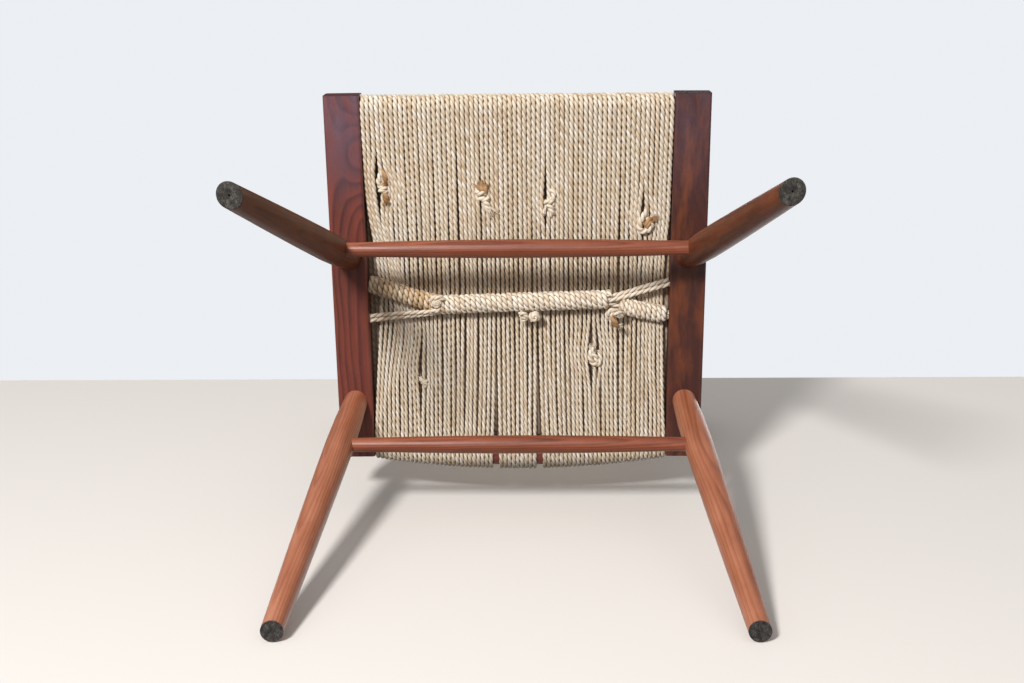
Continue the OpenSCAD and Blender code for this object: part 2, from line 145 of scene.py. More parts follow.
def vectors(tree, operation, a, b=(0.0, 0.0, 0.0)):
    """One step of vector arithmetic."""
    node = add(tree, "ShaderNodeVectorMath", {0: a, 1: b}, operation=operation)
    return node.outputs["Value" if operation in ("LENGTH", "DOT_PRODUCT") else "Vector"]


def rising(tree, value, start, end):
    """A mask that is 0 up to the start and 1 from the end on."""
    return ramp(tree, value, ((start, 0.0), (end, 1.0)))


def new_material(name):
    material = bpy.data.materials.new(name)
    material.use_nodes = True
    material.node_tree.nodes.clear()
    return material, material.node_tree


def finish_material(tree, colour, roughness, bump, **shader):
    """The principled shader and the output, with plain values on the shader's own sockets."""
    surface = add(tree, "ShaderNodeBsdfPrincipled", {
        "Base Color": colour, "Roughness": roughness, "Normal": bump,
        **{name.replace("_", " "): value for name, value in shader.items()}})
    add(tree, "ShaderNodeOutputMaterial", {0: surface.outputs[0]})


def stretched_noise(tree, place, stretch, detail=3.0, roughness=0.55, colour=False):
    """Noise with its own scale along each axis, in features per metre."""
    node = add(tree, "ShaderNodeTexNoise", {"Vector": vectors(tree, "MULTIPLY", place, stretch), "Scale": 1.0,
                                            "Detail": detail, "Roughness": roughness})
    return node.outputs[1 if colour else 0]


# Walnut

def walnut(name, centre, along, shades, roughness, figure, ring, pith=(0.0, 0.055, 0.03), contrast=0.16, swirl=None,
           ember=0.0, front_sheen=0.0, shine=0.5, ends=None, foot=False):
    """Walnut as a solid figure of year rings, streaks and pores, so that the ends show end grain.

    The grain runs along the direction given, through the centre. figure is how far the rings wander and ring is
    their spacing, both in mm, and pith is where the centre lies, seen from their middle, in metres. swirl bends the
    rings round a knot, given by its place, length, width and the rings it takes in. ember is the share of orange
    streaks, and front_sheen how strongly a painted greyish purple sheen lies over the front. shine is how much
    light the oiled surface mirrors, from 0 to 1. ends are the places along the grain, in metres, past which end
    grain is drawn, and foot is the worn end that stands on the floor.
    """
    light, middle, dark = shades
    material, tree = new_material(name)
    here = add(tree, "ShaderNodeTexCoord").outputs["Object"]
    turned = Vector(along).to_track_quat("X", "Z").to_euler()
    place = add(tree, "ShaderNodeMapping", {"Vector": here, "Location": tuple(centre), "Rotation": tuple(turned)},
                vector_type="TEXTURE").outputs[0]

    # The rings wander slowly along the board and more quickly across it
    drift = vectors(tree, "SUBTRACT", stretched_noise(tree, place, (4.0, 17.0, 17.0), 2.0, colour=True),
                    (0.5, 0.5, 0.5))
    warped = vectors(tree, "ADD", place, vectors(tree, "MULTIPLY", drift, (0, figure * 2 * MM, figure * 2 * MM)))
    across = vectors(tree, "MULTIPLY", vectors(tree, "ADD", warped, pith), (0.03, 1, 1))
    turns = sums(tree, "MULTIPLY", vectors(tree, "LENGTH", across), 1 / (ring * MM))
    if swirl:
        spot, length, width, taken = swirl
        away = vectors(tree, "MULTIPLY", vectors(tree, "SUBTRACT", warped, spot), (1 / length, 1 / width, 1 / width))
        away = sums(tree, "POWER", vectors(tree, "LENGTH", away), 2.0)
        turns = sums(tree, "MULTIPLY_ADD", sums(tree, "EXPONENT", sums(tree, "MULTIPLY", away, -1.0)), taken, turns)
    rings = ramp(tree, sums(tree, "FRACT", turns), ((0.0, 0.2), (0.45, 0.45), (0.8, 0.95), (1.0, 0.2)))

    # Broad smoky bands, then fine streaks along the grain
    tone = stretched_noise(tree, warped, (3.0, 30.0, 30.0), 3.0)
    smoke = stretched_noise(tree, warped, (14.0, 34.0, 34.0), 4.0, 0.6)
    streak = stretched_noise(tree, warped, (9.0, 420.0, 420.0), 4.0, 0.6)
    # Walnut's pores are 0.2 mm wide and up to 4 mm long, drawn half as wide again so that they show
    pores = rising(tree, stretched_noise(tree, warped, (130.0, 2100.0, 2100.0), 2.0, 0.5), 0.60, 0.70)
    level = weighted(tree, (rings, contrast), (tone, 0.70), (smoke, 0.40), (streak, 0.22))
    level = sums(tree, "SUBTRACT", level, 0.17 + contrast / 2, clamp=True)
    colour = ramp(tree, level, ((0.14, light), (0.46, middle), (0.80, dark)))
    if ember:
        glow = rising(tree, stretched_noise(tree, warped, (15.0, 48.0, 48.0), 3.0, 0.6), 0.45, 0.68)
        colour = tinted(tree, colour, glow, ember, linear("#8f4a22"))
    run = add(tree, "ShaderNodeSeparateXYZ", {0: place}).outputs[0]
    if front_sheen:
        # Painted reflection: towards the front a greyish purple sheen is painted over the wood, in clouds
        front = sums(tree, "MULTIPLY_ADD", run, -1 / 0.15, 0.15, clamp=True)
        sheen_clouds = sums(tree, "MULTIPLY", sums(tree, "MULTIPLY_ADD", smoke, 2.6, -0.65, clamp=True), front_sheen)
        colour = tinted(tree, colour, front, sheen_clouds, linear("#6c5463"))
    colour = tinted(tree, colour, pores, 0.38, dark)
    rough = sums(tree, "MULTIPLY_ADD", streak, 0.16, roughness - 0.08)

    if ends or foot:
        blotch = stretched_noise(tree, place, (90.0, 160.0, 160.0), 4.0, 0.65)
        grit = stretched_noise(tree, place, (1500.0, 1500.0, 1500.0), 2.0)
    if foot:
        # The foot's end is grey and black with floor dirt, and scratched
        height = add(tree, "ShaderNodeSeparateXYZ", {0: here}).outputs[2]
        edge = sums(tree, "MULTIPLY_ADD", blotch, -0.0022, height)
        mask = ramp(tree, sums(tree, "MULTIPLY_ADD", edge, 420.0, 0.5, clamp=True), ((0.25, 1.0), (0.8, 0.0)))
        scratch = stretched_noise(tree, here, (2600.0, 260.0, 1.0), 2.0, 0.7)
        worn = ramp(tree, weighted(tree, (grit, 0.25), (blotch, 0.45), (scratch, 0.35)),
                    zip((0.40, 0.53, 0.66), tones("#1d1a18", "#3b3733", "#77716b")))
        colour = mixed(tree, mask, colour, worn)
        rough = sums(tree, "MULTIPLY_ADD", mask, 0.30, rough)
    if ends:
        # Sawn end grain takes up more oil and dirt, so it is darker and dull
        past = sums(tree, "ADD", sums(tree, "LESS_THAN", run, ends[0]), sums(tree, "GREATER_THAN", run, ends[1]))
        sawn = ramp(tree, weighted(tree, (blotch, 0.6), (grit, 0.4)), ((0.3, dark), (0.8, middle)))
        colour = mixed(tree, past, colour, sawn)
        rough = sums(tree, "MULTIPLY_ADD", past, 0.2, rough)

    relief = sums(tree, "MULTIPLY_ADD", pores, -0.7, streak)
    bump = add(tree, "ShaderNodeBump", {"Strength": 0.3, "Distance": 0.1 * MM, "Height": relief}).outputs[0]
    finish_material(tree, colour, rough, bump, Specular_IOR_Level=shine, IOR=1.5)
    return material


def new_object(name, data):
    """An object in the scene that shows the data."""
    made = bpy.data.objects.new(name, data)
    bpy.context.scene.collection.objects.link(made)
    return made


def dress(node, material):
    """Gives a CAD node its material."""
    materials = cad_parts[node].data.materials
    materials.clear()
    materials.append(material)


# Grass cord

INSIDE_Z, INSIDE_Y = (24.0, 29.5), (24.0, 439.0)  # the cord between these heights and places is inside the seat
INSIDE_SHADE_FADE = 400.0  # how fast the painted shade of the inside sets in, per metre
# Where the cord just before the lashing is browner with handling and darker with painted shade of the front
# stretcher: its middle, reach and the height below which it shows, in mm
SOIL_AND_SHADE_Y, SOIL_AND_SHADE_REACH, SOIL_AND_SHADE_BELOW = 236.0, 26.0, 27.0


def cord_material(name, shades, seed, soil_and_shade=0.0, deep=0.50):
    """Two-ply twisted sea grass: dull, pale, streaked along its plies, with painted shade in the grooves.

    soil_and_shade is how much browner and darker the cord is just before the lashing, partly with handling and
    partly with painted shade of the front stretcher, and deep is how strong the painted shade in its grooves is.
    """
    light, middle, dark = shades
    material, tree = new_material(name)
    run = add(tree, "ShaderNodeAttribute", attribute_name="cord_run").outputs["Fac"]
    side = add(tree, "ShaderNodeAttribute", attribute_name="cord_side").outputs["Vector"]
    side = add(tree, "ShaderNodeSeparateXYZ", {0: side}).outputs
    run = sums(tree, "ADD", run, seed)
    ply = sums(tree, "SIGN", side[0])

    def along(per_metre, second, third, detail, roughness):
        """Noise along the cord, with features per metre and two places across it."""
        place = add(tree, "ShaderNodeCombineXYZ", {0: sums(tree, "MULTIPLY", run, per_metre), 1: second, 2: third})
        return add(tree, "ShaderNodeTexNoise", {"Vector": place.outputs[0], "Scale": 1.0, "Detail": detail,
                                                "Roughness": roughness}).outputs[0]

    # Blades are 1 to 2 mm wide and lie along the ply; each ply has its own tone, which changes from twist to twist
    blade = along(75.0, sums(tree, "MULTIPLY", side[0], 4.5), sums(tree, "MULTIPLY", side[1], 4.5), 4.0, 0.62)
    bead = along(62.0, sums(tree, "MULTIPLY", ply, 7.0), 3.1, 1.0, 0.5)
    stretch = along(9.0, sums(tree, "MULTIPLY", ply, 3.0), 8.7, 2.0, 0.6)
    level = weighted(tree, (blade, 0.45), (bead, 0.40), (stretch, 0.60))
    level = sums(tree, "SUBTRACT", level, 0.25, clamp=True)
    colour = ramp(tree, level, ((0.22, dark), (0.44, middle), (0.68, light)))
    # Some stretches have weathered grey and some have kept an orange brown
    weathered = rising(tree, along(5.0, 21.0, 4.4, 2.0, 0.6), 0.50, 0.66)
    colour = tinted(tree, colour, weathered, 0.30, linear("#d9d3c6"))
    tanned = rising(tree, along(21.0, sums(tree, "MULTIPLY", ply, 5.0), 31.0, 2.0, 0.6), 0.56, 0.70)
    colour = tinted(tree, colour, tanned, 0.40, linear("#b98a5c"))

    if soil_and_shade:
        place = add(tree, "ShaderNodeTexCoord").outputs["Object"]
        back, height = (vectors(tree, "DOT_PRODUCT", place, tuple(way)) for way in (BACK, UP))
        # Painted shade: inside the seat, between the two layers, the cord is painted dark brown where shade falls
        painted_inside_shade = 0.6
        for value, least, most in ((height, *(UP.dot(seat(0, 0, z)) for z in INSIDE_Z)),
                                   (back, *(BACK.dot(seat(0, y, 0)) for y in INSIDE_Y))):
            rise = sums(tree, "MULTIPLY", sums(tree, "SUBTRACT", value, least), INSIDE_SHADE_FADE, clamp=True)
            fall = sums(tree, "MULTIPLY", sums(tree, "SUBTRACT", most, value), INSIDE_SHADE_FADE, clamp=True)
            painted_inside_shade = sums(tree, "MULTIPLY", painted_inside_shade, sums(tree, "MULTIPLY", rise, fall))
        colour = mixed(tree, painted_inside_shade, colour, linear("#63442b"))
        # Just before the lashing the under layer is browner with handling and darker with painted shade of the front
        # stretcher; only the under layer takes it
        away = sums(tree, "ABSOLUTE", sums(tree, "SUBTRACT", back, BACK.dot(seat(0, SOIL_AND_SHADE_Y, 0))))
        soil_and_shade_mask = sums(tree, "SUBTRACT", sums(tree, "MULTIPLY_ADD", stretch, 0.8, 0.9),
                    sums(tree, "MULTIPLY", away, 1 / (SOIL_AND_SHADE_REACH * MM)), clamp=True)
        soil_and_shade_mask = sums(tree, "MULTIPLY", soil_and_shade_mask, sums(tree, "LESS_THAN", height, UP.dot(seat(0, 0, SOIL_AND_SHADE_BELOW))))
        colour = tinted(tree, colour, soil_and_shade_mask, soil_and_shade, linear("#96683a"))

    # Painted shade: the groove between the plies is darkened brown, the more so the larger deep is
    groove = ramp(tree, sums(tree, "ABSOLUTE", side[0]), ((0.05, 1.0), (0.45, 0.0)))
    colour = tinted(tree, colour, groove, deep, linear("#6b4a2c"))
    rough = sums(tree, "MULTIPLY_ADD", blade, 0.2, 0.62)
    bump = add(tree, "ShaderNodeBump", {"Strength": 0.55, "Distance": 0.35 * MM, "Height": blade}).outputs[0]
    finish_material(tree, colour, rough, bump, Specular_IOR_Level=0.3, Sheen_Weight=0.12, Sheen_Roughness=0.5)
    return material


def twisted_cord_tree():
    """Sweeps two plies along a path, turning once in every lay."""
    tree = bpy.data.node_groups.get("Twisted cord")
    if tree:
        return tree
    tree = bpy.data.node_groups.new("Twisted cord", "GeometryNodeTree")
    sockets = tree.interface
    sockets.new_socket("Path", in_out="INPUT", socket_type="NodeSocketGeometry")
    for name, default in (("Diameter", 5 * MM), ("Lay", 18 * MM), ("Ring spacing", 2.2 * MM)):
        sockets.new_socket(name, in_out="INPUT", socket_type="NodeSocketFloat").default_value = default
    sockets.new_socket("Sides", in_out="INPUT", socket_type="NodeSocketInt").default_value = 12
    sockets.new_socket("Material", in_out="INPUT", socket_type="NodeSocketMaterial")
    sockets.new_socket("Cord", in_out="OUTPUT", socket_type="NodeSocketGeometry")
    given = add(tree, "NodeGroupInput").outputs

    def step(kind, inputs=None, **settings):
        return add(tree, "GeometryNode" + kind, inputs, **settings).outputs[0]

    def named(name, kind="FLOAT"):
        return step("InputNamedAttribute", {"Name": name}, data_type=kind)

    def stored(geometry, name, value, kind="FLOAT"):
        return step("StoreNamedAttribute", {"Geometry": geometry, "Name": name, "Value": value}, data_type=kind,
                    domain="POINT")

    def scaled(vector, scale):
        return add(tree, "ShaderNodeVectorMath", {0: vector, "Scale": scale}, operation="SCALE").outputs[0]

    where = step("InputPosition")
    path = step("MeshToCurve", {0: given["Path"]})
    path = step("ResampleCurve", {"Curve": path, "Length": given["Ring spacing"]}, mode="LENGTH")
    run = add(tree, "GeometryNodeSplineParameter").outputs["Length"]
    path = stored(path, "cord_run", run)
    path = stored(path, "core", where, "FLOAT_VECTOR")
    path = step("SetCurveNormal", {"Curve": path}, mode="MINIMUM_TWIST")
    turns = sums(tree, "ADD", sums(tree, "DIVIDE", run, given["Lay"]), named("phase"))
    path = step("SetCurveTilt", {"Curve": path, "Tilt": sums(tree, "MULTIPLY", turns, -2 * math.pi)})

    ring = step("CurvePrimitiveCircle", {"Resolution": given["Sides"], "Radius": 1.0})
    ring = stored(ring, "cord_side", where, "FLOAT_VECTOR")
    radius = sums(tree, "MULTIPLY", given["Diameter"], 0.5)
    ring = step("SetPosition", {"Geometry": ring, "Position": scaled(where, radius)})
    tube = step("CurveToMesh", {"Curve": path, "Profile Curve": ring, "Scale": named("thickness"),
                                "Fill Caps": True})

    # The waist between the two plies is drawn in by the groove
    side = add(tree, "ShaderNodeSeparateXYZ", {0: named("cord_side", "FLOAT_VECTOR")}).outputs[0]
    waist = sums(tree, "MULTIPLY", sums(tree, "SUBTRACT", sums(tree, "ABSOLUTE", side), 1.0), named("groove"))
    inward = scaled(vectors(tree, "SUBTRACT", where, named("core", "FLOAT_VECTOR")), waist)
    tube = step("SetPosition", {"Geometry": tube, "Offset": inward})
    tube = step("SetShadeSmooth", {"Geometry": tube})
    tube = step("RealizeInstances", {"Geometry": tube})
    tube = step("SetMaterial", {"Geometry": tube, "Material": given["Material"]})
    add(tree, "NodeGroupOutput", {0: tube})
    return tree


def sweep(name, paths, material, diameter, lay, groove=0.36, spacing=2.2, sides=12):
    """Makes one piece of twisted cord from paths in the seat's millimetres.

    A path is a list of (x, y, z, thickness, phase, groove), of which the last three may be left out. thickness
    scales the diameter, phase is a share of a turn that is added to the twist, and groove is how deep the plies
    part.
    """
    usual = (1.0, 0.0, groove)
    points, edges, shares = [], [], []
    for path in paths:
        first = len(points)
        for p in path:
            points.append(seat(*p[:3]))
            shares.append(tuple(p[3:]) + usual[len(p) - 3:])
        edges += [(i, i + 1) for i in range(first, len(points) - 1)]
    guide = bpy.data.meshes.new(name + "_path")
    guide.from_pydata(points, edges, [])
    for attribute, values in zip(("thickness", "phase", "groove"), zip(*shares)):
        guide.attributes.new(attribute, "FLOAT", "POINT").data.foreach_set("value", values)
    carrier = new_object(name + "_path", guide)
    modifier = carrier.modifiers.new("Cord", "NODES")
    modifier.node_group = twisted_cord_tree()
    given = {"Diameter": diameter * MM, "Lay": lay * MM, "Ring spacing": spacing * MM, "Sides": sides,
             "Material": material}
    for item in modifier.node_group.interface.items_tree:
        if item.in_out == "INPUT" and item.name in given:
            modifier[item.identifier] = given[item.name]
    bpy.context.view_layer.update()
    mesh = bpy.data.meshes.new_from_object(carrier.evaluated_get(bpy.context.evaluated_depsgraph_get()))
    mesh.name = name
    carrier.modifiers.clear()
    bpy.data.objects.remove(carrier)
    bpy.data.meshes.remove(guide)
    return new_object(name, mesh)


def attach(piece, *nodes):
    """The piece rides with the chair and stands for the given CAD nodes, which are hidden."""
    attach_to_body(piece, "root")
    if nodes:
        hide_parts(*nodes)


# Seat winding

def front_x(i):
    return (i + 0.5 - CORDS / 2) * FRONT_PITCH


def rear_x(i):
    return (i + 0.5 - CORDS / 2) * REAR_PITCH - REAR_GAP + REAR_GAP * sum(i >= k for k in AFTER_GAPS)


def rear_turn_y(x):
    return BOW_Y + math.sqrt(BOW_R * BOW_R - x * x)


def lashing_line(x):
    return LASH_Y - LASH_SKEW * x / (LASH_RIGHT - LASH_LEFT)


def smooth(a, b, s):
    s = s * s * (3 - 2 * s)
    return a + (b - a) * s


# The knots, each with the cord that it is tied in, its place along it, and how far and over which reach it holds
# its neighbours off. Its parts lie beside that cord, in mm, and what it lacks is left out. Strands and stubs go
# through (x, y, z, thickness), and loops have (x, y, run across, run along, turns, radius, thickness). Blades and
# fringes have (x, y, z, heading, length, count, spread, thickness), with angles in degrees. Stubs and fringes are
# browner.
KNOTS = (
    {"cord": 3, "y": 111, "hold": 4.8, "reach": 34,
     "strands": (((0, -22, 0, .9), (-3.2, -14, -2, .95), (-4.6, -7, -2.8, 1), (-3, -1, -2, .95)),),
     "stubs": (((1, -22, -1.5, .8), (3, -15, -3, .95), (4, -9, -3.2, 1), (2.4, -2, -2, .9)),
               ((.5, 3, -1.5, 1), (2.6, 8, -2.5, 1.15), (3.4, 14, -2.2, 1.15), (4.2, 19, -1.2, 1))),
     "loops": ((0, 1.5, 0, 6, -1.8, 3.5, .95),),
     "blades": ((1, -7, -3.5, 0, 8, 4, 8, 1.1),), "fringe": ((4.2, 15, -2.6, 80, 8, 10, 34, 1.5),)},
    {"cord": 25, "y": 122, "hold": 2.2, "reach": 30,
     "strands": (((2, 5, -3.5, 1.1), (4.5, 10, -4, 1.15), (6.4, 15, -3.6, .8)),),
     "stubs": (((.5, -4, -2.5, 1), (-1, -9, -3.2, 1.25), (-2, -14, -3.2, 1.1)),
               ((1.5, -4, -2.5, 1), (3, -9, -3, 1.2), (4.2, -14, -2.8, 1))),
     "loops": ((-.5, .5, 6.5, 15, -2.2, 4.0, 1.08),),
     "blades": ((1.5, 8, -4.4, 62, 21, 11, 12, 2.4),), "fringe": ((-2.5, -7, -5.2, -92, 13, 22, 34, 2.1),)},
    {"cord": 39, "y": 131, "hold": 2.9, "reach": 30,
     "strands": (((2.2, -17, -.5, .85), (5.6, -12, -2.8, 1), (5.4, -7, -3.6, 1), (1, -3, -3.4, .95)),
                 ((-2, 1, -3, .95), (2.4, 6, -3.6, 1.05), (4, 11, -2.8, 1), (2.6, 16, -1, .85)),
                 ((-3, 3, -2, .7), (-5.2, 9, -2.6, .6), (-6, 13, -2.2, .45))),
     "loops": ((0, -1, 0, 6, 1.35, 4.4, 1),),
     "blades": ((-5, 9, -2.6, 110, 7, 5, 18, .9),)},
    {"cord": 60, "y": 156, "hold": 3.8, "reach": 27,
     "strands": (((0, -15, -1.6, 1.05), (-4, -8, -3, 1.1), (-7.5, -1, -3.6, 1.15), (-8.6, 6, -3.4, 1.25),
                  (-5, 11, -3.4, 1.2), (2, 9.5, -3.8, 1.1), (6, 4, -3.8, 1.05), (4.2, -3, -3.6, 1),
                  (0, -5, -3, .9)),),
     "stubs": (((-3, 3, -4.4, .9), (1, -1, -5.4, 1), (5, -6, -4.4, .9)),
               ((-1, 6, -4.2, .85), (3, 1.5, -5.4, .95), (7, -2, -4, .8))),
     "fringe": ((4, -4, -4.6, -12, 11, 12, 26, 1.7),)},
    {"cord": 11, "y": 356, "hold": 3.0, "reach": 44,
     "strands": (((-4, -5, -1.5, .7), (-1.5, 0, -3, .85), (2.2, 3, -2.8, .9), (2.8, 8, -1.2, .8)),),
     "loops": ((0, 1, 0, 4, -1.2, 3.3, .82),),
     "blades": ((-3.5, -4, -2, -120, 5, 4, 20, .9),)},
    {"cord": 49, "y": 326, "hold": 4.9, "reach": 34,
     "strands": (((-1, -12, -1.6, .95), (-5, -6, -3.4, 1.08), (-5.6, 2, -3.6, 1.12), (-2.6, 8, -3.6, 1.12),
                  (2.4, 10, -3.4, 1.1), (6.4, 6.5, -2.8, 1), (6.6, -1, -1.8, .9), (4.6, -8, -.8, .8)),
                 ((-3, -5, -3.6, .95), (1, 0, -4.4, 1), (2.2, 6, -3.8, .95))),
     "blades": ((-3.4, -8, -4.2, -118, 10, 8, 16, 1.4),)},
)

# Where neighbouring cords part, as (cord, place along it, how far, how long)
PARTINGS = (
    (38, 85, 1.3, 62), (24, 75, 0.9, 28), (59, 130, 0.9, 26), (7, 40, 0.6, 26),
    (14, 226, 1.2, 20), (19, 222, 1.0, 18), (23, 228, 1.5, 22), (28, 230, 1.3, 22), (33, 224, 1.1, 20),
    (37, 230, 1.5, 26), (45, 226, 1.3, 22), (49, 224, 1.6, 22), (52, 228, 1.8, 24), (54, 226, 1.5, 22),
    (56, 228, 1.6, 22), (59, 226, 1.3, 22), (62, 224, 1.1, 20),
    (0, 290, 1.5, 50), (1, 290, 1.3, 50), (2, 295, 1.5, 50), (3, 330, 0.8, 40), (5, 300, 1.4, 34),
    (8, 292, 0.9, 26), (16, 300, 1.0, 24), (20, 300, 1.5, 34), (27, 335, 1.7, 55), (30, 312, 1.2, 34),
    (34, 335, 1.8, 60), (37, 335, 1.6, 60), (42, 292, 1.3, 24), (44, 294, 1.1, 24), (46, 292, 1.3, 26),
    (55, 290, 1.7, 26), (58, 292, 1.4, 26), (63, 345, 1.3, 48),
)

# The lashing draws the outer cords away from the side rails, on the left (first) more than on the right
DRAWN_Y = (0, 110, 135, 155, 178, 205, 262, 300, 350, 400, 445)
DRAWN = ((0, 0.6, 2, 4, 7, 9.6, 12.2, 10, 6, 2.6, 0), (0, 0, 0.6, 1.4, 3, 5, 6, 5, 4, 2.5, 0))
SLICES = 41
OUTER_ROOM, UPPER_ROOM = 2.7, 1.3  # how far the outer cord keeps off the side rails, and how much less above
LEAST_APART = 4.5, 5.4  # how close two cords may lie, in the under and the upper layer
SETTLING_STEPS, HALF_TURN_STEPS = 500, 12
SHOWN, HIDDEN = 0.38, 0.15  # how deep the plies part in the under and the upper layer
JOINT_GIRTH, RAIL_GIRTH = 1.06, 1.04  # thickness where two lengths meet, and on the rails
# The ends are tucked in between the layers: (y, z, thickness) at the start, and (y, z) at the end
TUCKED_START = ((74, 17, 0.7), (60, 18, 0.8), (48, 21, 0.85), (38, 25.5, 0.85), (28, 28.6, 0.95))
TUCKED_END = ((41, 26), (33, 20), (27, 15))


def layer_places(layer, wander):
    """Where each cord of a layer runs: x for every cord at every slice from the front to the rear turn.

    Cords wander a little and no two overlap, so that a knot pushes its neighbours aside. In the upper layer a
    cord crosses over by half a place on its way to the front rail.
    """
    t = np.linspace(0, 1, SLICES)
    y = FRONT_TURN_Y + t * (BOW_Y + BOW_R - FRONT_TURN_Y)
    # The two gaps at the rear rail close towards the front, in the upper layer almost at once
    close = 9 if layer else 3
    even = [(i + 0.5 - CORDS / 2) * (REAR_PITCH + 2 * REAR_GAP / CORDS) for i in range(CORDS)]
    front = [front_x(min(i + layer / 2, CORDS - 1)) for i in range(CORDS)]
    x = np.array([[front[i] * (1 - s) + s * (even[i] * (1 - s ** close) + rear_x(i) * s ** close) for s in t]
                  for i in range(CORDS)])
    edge = (INNER_FRONT + 0.2) * (1 - t) + INNER_REAR * t - OUTER_ROOM
    if layer:
        # Away from the rails the upper layer fills the seat evenly from side rail to side rail
        spread = np.clip(np.minimum(t / 0.16, (1 - t) / 0.12), 0, 1)
        x += (np.linspace(-1, 1, CORDS)[:, None] * (edge + UPPER_ROOM) - x) * spread
    base = x.copy()
    swing = np.sin(np.pi * t) ** 0.7
    for i in range(CORDS):
        for k, s in enumerate(t):
            low = noise.noise(Vector((i * 1.73, s * 2.2, 3.3 + layer * 11)))
            pair = noise.noise(Vector((i * 0.61, s * 1.1, 8.8 + layer * 11)))
            x[i, k] += wander * (1.5 * low + 1.5 * pair) * swing[k] * (0.7 + 1.5 * s)
    if layer:
        x[0], x[-1] = base[0], base[-1]
    least = np.full((CORDS - 1, SLICES), LEAST_APART[layer])
    left, right = -edge - UPPER_ROOM * layer, edge + UPPER_ROOM * layer
    if layer == 0:
        for knot in KNOTS:
            extra = knot["hold"] * np.exp(-((y - knot["y"]) / knot["reach"]) ** 2)
            least[knot["cord"] - 1] += 1.35 * extra
            least[knot["cord"]] += 0.65 * extra
        for cord, spot, apart, reach in PARTINGS:
            least[cord] += apart * np.exp(-((y - spot) / reach) ** 2)
        # Some cords on the left ride up on each other there
        least[3:9] -= 0.9 * np.exp(-((y - 245) / 75) ** 2)
        left += np.interp(y, DRAWN_Y, DRAWN[0])
        right -= np.interp(y, DRAWN_Y, DRAWN[1])
    for _ in range(SETTLING_STEPS):
        push = np.maximum(0, least - (x[1:] - x[:-1])) * 0.45
        x[:-1] -= push
        x[1:] += push
        x = np.clip(x, left, right)
    hold = np.clip(np.minimum(t, 1 - t) / 0.08, 0, 1)
    return base + (x - base) * hold


def lower_z(y, x):
    """Height of the under layer, which is taut from the rails up to the lashing."""
    line = lashing_line(x)
    front, rear = FRONT_TURN_Y, rear_turn_y(x)
    t = (y - front) / (line - front) if y < line else (rear - y) / (rear - line)
    top = PINCH_Z - (RAIL_LINE - TURN_R)
    soft = max(0.0, 1 - abs(y - line) / 16) ** 2
    return RAIL_LINE - TURN_R + top * max(0.0, t) - 0.7 * soft


def cord_at(lower, i, y):
    """The centre of cord i of the under layer, y back from the front edge."""
    t = (y - FRONT_TURN_Y) / (rear_turn_y(rear_x(i)) - FRONT_TURN_Y)
    x = float(np.interp(t, np.linspace(0, 1, SLICES), lower[i]))
    return x, lower_z(y, x)


def girth(i, t, layer):
    """Thickness of cord i as a share of its full diameter: it is stretched thin on the way to the lashing."""
    own = 0.05 * noise.noise(Vector((i * 3.9, layer * 5.0, 1.0))) + 0.05 * noise.noise(Vector((i * 2.7, t * 6, 9.0)))
    if layer:
        return 1.17 + own * 0.3
    slack = min(max((t - 0.25) / 0.25, 0), 1)
    return 1.0 - 0.19 * slack * slack * (3 - 2 * slack) + 0.13 * max(0, (t - 0.85) / 0.15) + own


def wound_path(first, count, lower, upper):
    """The centre line of one length of cord, wound count times round both rails.

    The upper layer is packed fuller than the under layer, so its plies part less.
    """
    path = []
    t = np.linspace(0, 1, SLICES)
    rng = random.Random(31)
    twist = [[rng.random() for _ in range(2)] for _ in range(CORDS + 1)]
    top = RAIL_LINE + TURN_R

    def joint(i):
        """Where two lengths meet on top of the front rail."""
        return front_x(i - 0.5), FRONT_TURN_Y + 1, top, JOINT_GIRTH, twist[i - 1][1], HIDDEN

    def half_turn(way, x, y, *shares):
        """Half a turn round a rail, down at the front (way -1) or up at the rear (way 1).

        x and the shares, which are thickness, phase and groove, are given as (first, last).
        """
        for step in range(HALF_TURN_STEPS + 1):
            s = step / HALF_TURN_STEPS
            a = way * math.radians(180 * s - 90)
            path.append((smooth(*x, s), y + way * TURN_R * math.cos(a), RAIL_LINE + TURN_R * math.sin(a),
                         *(smooth(*share, s) for share in shares)))

    if first:
        path.append(joint(first))
    else:
        path += [(front_x(0) - 0.4, y, z, d, twist[0][0], SHOWN) for y, z, d in TUCKED_START]
    for i in range(first, first + count):
        below, above = twist[i]
        half_turn(-1, (front_x(i - 0.5 if i else 0), front_x(i)), FRONT_TURN_Y, (RAIL_GIRTH, girth(i, 0, 0)),
                  (twist[i - 1][1] if i else below, below), (HIDDEN, SHOWN))
        xr = rear_x(i)
        yr = rear_turn_y(xr)
        for k in range(1, SLICES - 1):
            y = FRONT_TURN_Y + t[k] * (yr - FRONT_TURN_Y)
            path.append((lower[i, k], y, lower_z(y, lower[i, k]), girth(i, t[k], 0), below, SHOWN))
        half_turn(1, (xr, xr), yr, (girth(i, 1, 0), RAIL_GIRTH), (below, above), (SHOWN, HIDDEN))
        last = i == CORDS - 1
        for k in range(SLICES - 2, 2 if last else 0, -1):
            y = FRONT_TURN_Y + t[k] * (yr - FRONT_TURN_Y)
            sag = 0.25 * noise.noise(Vector((i * 2.1, t[k] * 3, 5.0)))
            path.append((upper[i, k], y, top + sag, girth(i, t[k], 1), above, HIDDEN))
        if last:
            path += [(upper[i, 3], y, z, 0.9, above, SHOWN) for y, z in TUCKED_END]
    if first + count < CORDS:
        path.append(joint(first + count))
    return path


# Lashing and strands

